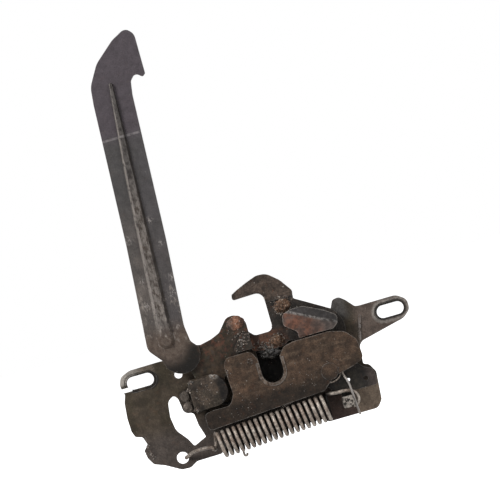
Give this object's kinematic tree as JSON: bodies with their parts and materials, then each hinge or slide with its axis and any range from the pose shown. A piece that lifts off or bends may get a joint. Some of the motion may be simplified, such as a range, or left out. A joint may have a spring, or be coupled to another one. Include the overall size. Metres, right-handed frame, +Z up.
{
  "type": "hood latch",
  "caption": "Vehicle hood latch: slotted stamped base plate, hooked catch claw behind a front cover, sprung release pawl, coil spring and tall ribbed safety lever.",
  "frame": {"origin": "where the striker bar sits when latched, on the plane of the base plate's back (mounting) face", "axes": "+Z up towards the hood, +X across the vehicle to the right seen from the front of the latch, +Y out of the base plate's back; the latch faces -Y"},
  "size_m": [0.1508, 0.0272, 0.2209],
  "materials": {
    "base_steel": "worn dark plating under road dirt",
    "cover_steel": "brown oily film with pits",
    "strap_steel": "greasy dark steel",
    "rivet_steel": "dulled steel",
    "spring_wire": "dull wire with rust between the turns",
    "claw_steel": "dark steel with rust at the throat",
    "rusty_rivets": "rusted",
    "pawl_steel": "dark worn plating",
    "pad_plastic": "red-brown, polished by wear",
    "lever_steel": "dark grey with a worn rib"
  },
  "bodies": {
    "frame": {"base_plate": "base_steel", "cover_plate": "cover_steel", "lever_strap": "strap_steel", "strap_rivets": "rivet_steel", "lever_pivot": "rivet_steel", "lever_bush": "rivet_steel", "lever_spring": "spring_wire", "claw_pivot": "rivet_steel", "claw_washer": "rivet_steel", "pawl_pivot": "rivet_steel", "pawl_bush": "rivet_steel", "spring_collar": "rivet_steel", "return_spring": "spring_wire", "coil_spring": "spring_wire"},
    "claw": {"catch_claw": "claw_steel", "claw_rivets": "rusty_rivets"},
    "pawl": {"release_pawl": "pawl_steel", "pawl_pin": "rivet_steel", "pawl_pad": "pad_plastic"},
    "lever": {"safety_lever": "lever_steel"}
  },
  "joints": [
    {"name": "claw_swing", "type": "hinge", "parent": "frame", "child": "claw", "pos_m": [0.028, 0, 0.011], "axis": [0, -1, 0], "range_deg": [0, 40], "stiffness_Nm_per_rad": 0.08, "springref_deg": -34.38},
    {"name": "pawl_release", "type": "hinge", "parent": "frame", "child": "pawl", "pos_m": [0.0272, 0, -0.0087], "axis": [0, -1, 0], "range_deg": [0, 6], "stiffness_Nm_per_rad": 0.3, "springref_deg": -28.65, "deforming": ["coil_spring", "return_spring"]},
    {"name": "lever_swing", "type": "hinge", "parent": "frame", "child": "lever", "pos_m": [-0.0315, 0, -0.0022], "axis": [0, -1, 0], "range_deg": [0, 14], "stiffness_Nm_per_rad": 0.12, "springref_deg": -34.38, "deforming": ["lever_spring"]}
  ]
}
